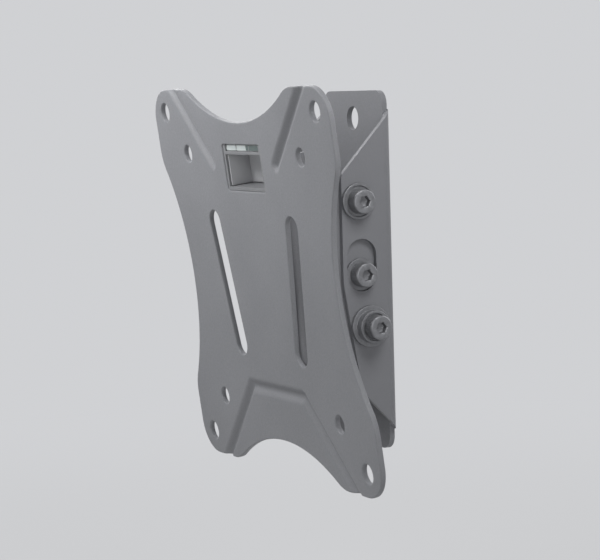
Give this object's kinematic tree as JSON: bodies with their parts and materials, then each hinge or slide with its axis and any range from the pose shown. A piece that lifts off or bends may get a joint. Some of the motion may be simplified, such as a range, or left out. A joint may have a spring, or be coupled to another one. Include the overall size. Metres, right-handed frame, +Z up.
{
  "type": "tv wall mount",
  "caption": "Tilting wall mount for a small screen: a folded wall bracket and a pressed screen plate with a square hole pattern, joined by clamped tilt screws.",
  "frame": {"origin": "middle of the wall bracket on the wall face", "axes": "+X to the right as seen from the room, +Y into the wall, +Z up; the screen is on the -Y side"},
  "size_m": [0.116, 0.0407, 0.1134],
  "materials": {
    "plate_coat": "satin fine-texture powder coat, mid grey",
    "bracket_coat": "satin fine-texture powder coat, mid grey",
    "black_steel": "black oxide, slightly glossy",
    "zinc": "zinc plated",
    "nylon": "natural nylon",
    "dark_plastic": "fine matte moulding",
    "vial": "clear acrylic with pale green liquid"
  },
  "bodies": {
    "wall": {"wall_bracket": "bracket_coat"},
    "head": {"screen_plate": "plate_coat", "tilt_bracket": "bracket_coat", "pivot_screw_left": "black_steel", "pivot_screw_right": "black_steel", "pivot_bush_left": "black_steel", "pivot_bush_right": "black_steel", "pivot_washer_left": "nylon", "pivot_washer_right": "nylon", "pivot_nut_left": "zinc", "pivot_nut_right": "zinc", "upper_screw_left": "black_steel", "upper_screw_right": "black_steel", "upper_cup_left": "black_steel", "upper_cup_right": "black_steel", "upper_washer_left": "nylon", "upper_washer_right": "nylon", "upper_nut_left": "zinc", "upper_nut_right": "zinc", "lower_screw_left": "black_steel", "lower_screw_right": "black_steel", "lower_spacer_left": "black_steel", "lower_spacer_right": "black_steel", "lower_washer_left": "nylon", "lower_washer_right": "nylon", "lower_nut_left": "zinc", "lower_nut_right": "zinc", "level_housing": "dark_plastic", "level_vial": "vial"}
  },
  "joints": [
    {"name": "tilt", "type": "hinge", "parent": "wall", "child": "head", "pos_m": [0, -0.011, -0.0003], "axis": [1, 0, 0], "range_deg": [-9.6, 4.4]}
  ]
}
